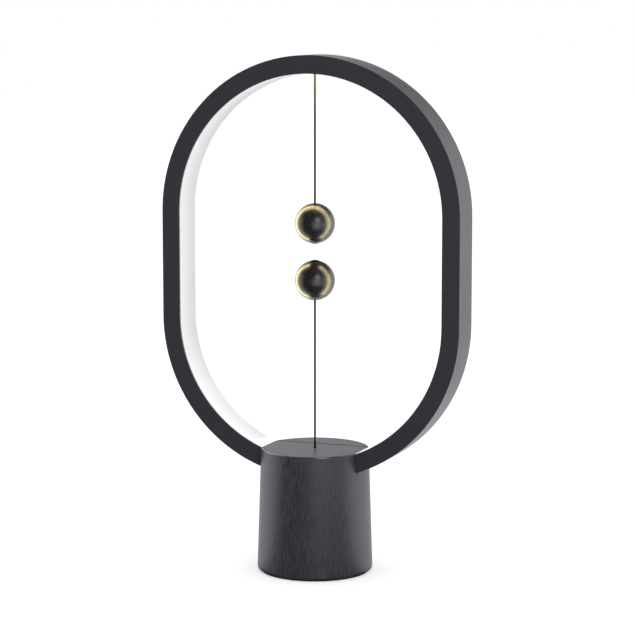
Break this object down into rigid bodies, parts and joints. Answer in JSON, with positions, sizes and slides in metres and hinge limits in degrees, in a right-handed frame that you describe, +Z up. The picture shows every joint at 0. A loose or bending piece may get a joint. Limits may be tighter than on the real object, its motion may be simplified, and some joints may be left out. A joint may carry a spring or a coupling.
{
  "type": "magnetic balance lamp",
  "caption": "Table lamp with an upright oval light hoop on a round tapered base, switched by two magnetic balls on cords that meet in mid-air.",
  "frame": {"origin": "centre of the base's footprint, on the table", "axes": "+Z up along the cords, +Y towards the back, where the power inlet is, +X along the hoop's width to the right seen from the front"},
  "size_m": [0.243, 0.0898, 0.4],
  "materials": {
    "hoop_charcoal": "fine matt foil, charcoal",
    "base_charcoal": "satin foil with a fine upright grain, charcoal",
    "opal": "opal, lit from behind",
    "ball_lacquer": "dark lacquer, brushed",
    "ball_cap": "black, polished",
    "magnet": "nickel plated",
    "cord": "twisted black cord",
    "crimp_dark": "blackened",
    "ferrule_brass": "brushed",
    "black_moulding": "matt black",
    "foot_rubber": "matt black",
    "pale_moulding": "natural",
    "strip": "flexible circuit strip",
    "light_chips": "yellow phosphor",
    "lead_red": "insulated wire",
    "lead_black": "insulated wire",
    "ballast_steel": "zinc plated",
    "board": "green circuit board",
    "component_dark": "moulded",
    "plated_steel": "bright zinc",
    "terminal_brass": "plain"
  },
  "bodies": {
    "lamp": {"hoop_shell": "hoop_charcoal", "hoop_rear_cover": "hoop_charcoal", "base_shell": "base_charcoal", "base_rear_cover": "base_charcoal", "hoop_diffuser": "opal", "upper_cord_knot": "cord", "upper_cord_bush": "black_moulding", "base_cord_bush": "black_moulding", "base_floor": "black_moulding", "microswitch_body": "black_moulding", "foot_pad": "foot_rubber", "upper_cord_anchor": "pale_moulding", "switch_carrier": "pale_moulding", "lead_connectors": "pale_moulding", "led_strip": "strip", "led_chips": "light_chips", "led_leads": "lead_red", "switch_leads": "lead_black", "ballast_weight": "ballast_steel", "driver_board": "board", "board_capacitor": "component_dark", "board_inductor": "component_dark", "board_chips": "component_dark", "usb_socket": "plated_steel", "lever_pin": "plated_steel", "switch_pins": "plated_steel", "return_spring": "plated_steel", "floor_screws": "plated_steel", "ballast_screws": "plated_steel", "board_screws": "plated_steel", "carrier_screws": "plated_steel", "hoop_screws": "plated_steel", "switch_terminals": "terminal_brass"},
    "upper_bend": {"upper_cord_bend": "cord"},
    "upper_pendulum": {"upper_cord": "cord", "upper_ball": "ball_lacquer", "upper_magnet": "magnet", "upper_ball_cap": "ball_cap", "upper_cord_crimp": "crimp_dark"},
    "lower_slider": {"lower_cord_tail": "cord", "cord_ferrule": "ferrule_brass"},
    "lower_middle": {"lower_cord_mid": "cord"},
    "lower_ball_set": {"lower_cord_end": "cord", "lower_ball": "ball_lacquer", "lower_magnet": "magnet", "lower_ball_cap": "ball_cap", "lower_cord_crimp": "crimp_dark"},
    "rocker": {"switch_lever": "pale_moulding"},
    "plunger": {"switch_plunger": "lead_red"}
  },
  "joints": [
    {"name": "upper_sway", "type": "hinge", "parent": "lamp", "child": "upper_bend", "pos_m": [0, 0, 0.385], "axis": [0, 1, 0], "range_deg": [-25, 25]},
    {"name": "upper_swing", "type": "hinge", "parent": "upper_bend", "child": "upper_pendulum", "pos_m": [0, 0, 0.385], "axis": [1, 0, 0], "range_deg": [-60, 60]},
    {"name": "cord_pull", "type": "slide", "parent": "lamp", "child": "lower_slider", "axis": [0, 0, 1], "range_m": [-0.004, 0], "stiffness_N_per_m": 100, "springref_m": 0.01},
    {"name": "lower_swing", "type": "hinge", "parent": "lower_slider", "child": "lower_middle", "pos_m": [0, 0, 0.1015], "axis": [1, 0, 0], "range_deg": [-90, 90], "stiffness_Nm_per_rad": 0.1},
    {"name": "rim_bend", "type": "hinge", "parent": "lower_middle", "child": "lower_ball_set", "pos_m": [0, 0, 0.1485], "axis": [1, 0, 0], "range_deg": [-70, 70], "stiffness_Nm_per_rad": 0.06},
    {"name": "lever_rock", "type": "hinge", "parent": "lamp", "child": "rocker", "pos_m": [0.016, 0, 0.058], "axis": [0, 1, 0], "range_deg": [-14.33, 0], "deforming": ["return_spring"]},
    {"name": "plunger_press", "type": "slide", "parent": "lamp", "child": "plunger", "axis": [0, 0, 1], "range_m": [0, 0.0015]}
  ],
  "couplings": [
    {"joint": "lever_rock", "follows": "cord_pull", "rad_per_m": 62.5},
    {"joint": "plunger_press", "follows": "cord_pull", "ratio": -0.375}
  ]
}
